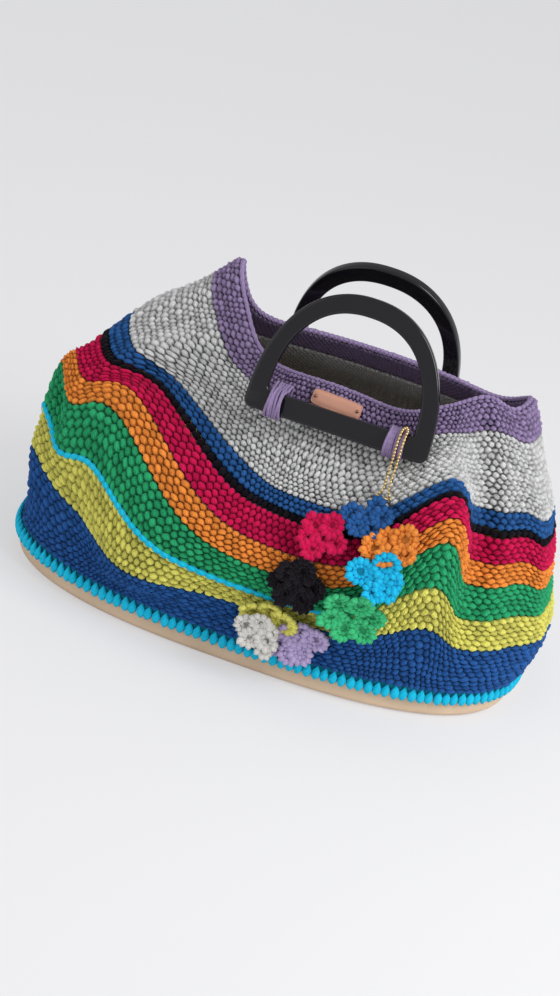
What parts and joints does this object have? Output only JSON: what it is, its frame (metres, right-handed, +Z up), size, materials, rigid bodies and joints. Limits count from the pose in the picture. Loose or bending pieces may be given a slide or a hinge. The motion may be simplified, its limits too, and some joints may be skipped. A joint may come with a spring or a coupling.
{
  "type": "crocheted tote bag",
  "caption": "Soft open-top oval tote crocheted in colour bands on a stiff leather base, with D handles and a crocheted flower charm on a ball chain",
  "frame": {"origin": "middle of the base oval, on the surface that the bag stands on", "axes": "+X along the bag's length, +Z up, the pictured front faces -Y"},
  "size_m": [0.4693, 0.298, 0.3256],
  "materials": {
    "base_leather": "pale natural leather, fine grain, satin",
    "yarn_turquoise": "matt cotton cord",
    "yarn_lower_blue": "matt cotton cord",
    "yarn_lime": "matt cotton cord",
    "yarn_green": "matt cotton cord",
    "yarn_orange": "matt cotton cord",
    "yarn_crimson": "matt cotton cord",
    "yarn_black": "matt cotton cord",
    "yarn_upper_blue": "matt cotton cord",
    "yarn_grey": "matt fluffy cotton cord",
    "yarn_purple": "matt cotton cord",
    "yarn_white": "matt fluffy cotton cord",
    "yarn_lilac": "matt fluffy cotton cord",
    "yarn_cyan": "matt cotton cord",
    "ring_yarn": "matt cotton yarn",
    "handle_black": "polished black resin",
    "label_leather": "smooth copper-pink leather",
    "rivet_copper": "dull copper",
    "chain_gold": "polished gold tone"
  },
  "bodies": {
    "bag": {"leather_base": "base_leather", "base_row_turquoise": "yarn_turquoise", "band_lower_blue": "yarn_lower_blue", "band_lime": "yarn_lime", "line_turquoise": "yarn_turquoise", "band_green": "yarn_green", "band_orange": "yarn_orange", "band_crimson": "yarn_crimson", "band_black": "yarn_black", "band_upper_blue": "yarn_upper_blue", "band_grey": "yarn_grey", "rim_purple": "yarn_purple", "tie_front_left": "yarn_purple", "tie_front_right": "yarn_purple", "tie_back_left": "yarn_purple", "tie_back_right": "yarn_purple", "label": "label_leather", "label_rivet_left": "rivet_copper", "label_rivet_right": "rivet_copper"},
    "front_handle": {"handle_front": "handle_black"},
    "back_handle": {"handle_back": "handle_black"},
    "chain": {"ball_chain": "chain_gold", "chain_clasp": "chain_gold"},
    "charm": {"charm_ring": "ring_yarn", "flower_blue": "yarn_upper_blue", "flower_crimson": "yarn_crimson", "flower_black": "yarn_black", "flower_lime": "yarn_lime", "flower_white": "yarn_white", "flower_lilac": "yarn_lilac", "flower_green": "yarn_green", "flower_cyan": "yarn_cyan", "flower_orange": "yarn_orange"}
  },
  "joints": [
    {"name": "front_handle_tilt", "type": "hinge", "parent": "bag", "child": "front_handle", "pos_m": [0.032, -0.09286, 0.225], "axis": [1, 0, 0], "range_deg": [-20, 80]},
    {"name": "back_handle_tilt", "type": "hinge", "parent": "bag", "child": "back_handle", "pos_m": [0.02, 0.09461, 0.207], "axis": [-1, 0, 0], "range_deg": [-20, 80]},
    {"name": "chain_swing", "type": "hinge", "parent": "bag", "child": "chain", "pos_m": [0.087, -0.09074, 0.24011], "axis": [-1, 0, 0], "range_deg": [0, 35]},
    {"name": "charm_swing", "type": "hinge", "parent": "chain", "child": "charm", "pos_m": [0.087, -0.11421, 0.186], "axis": [-1, 0, 0], "range_deg": [0, 12]}
  ]
}
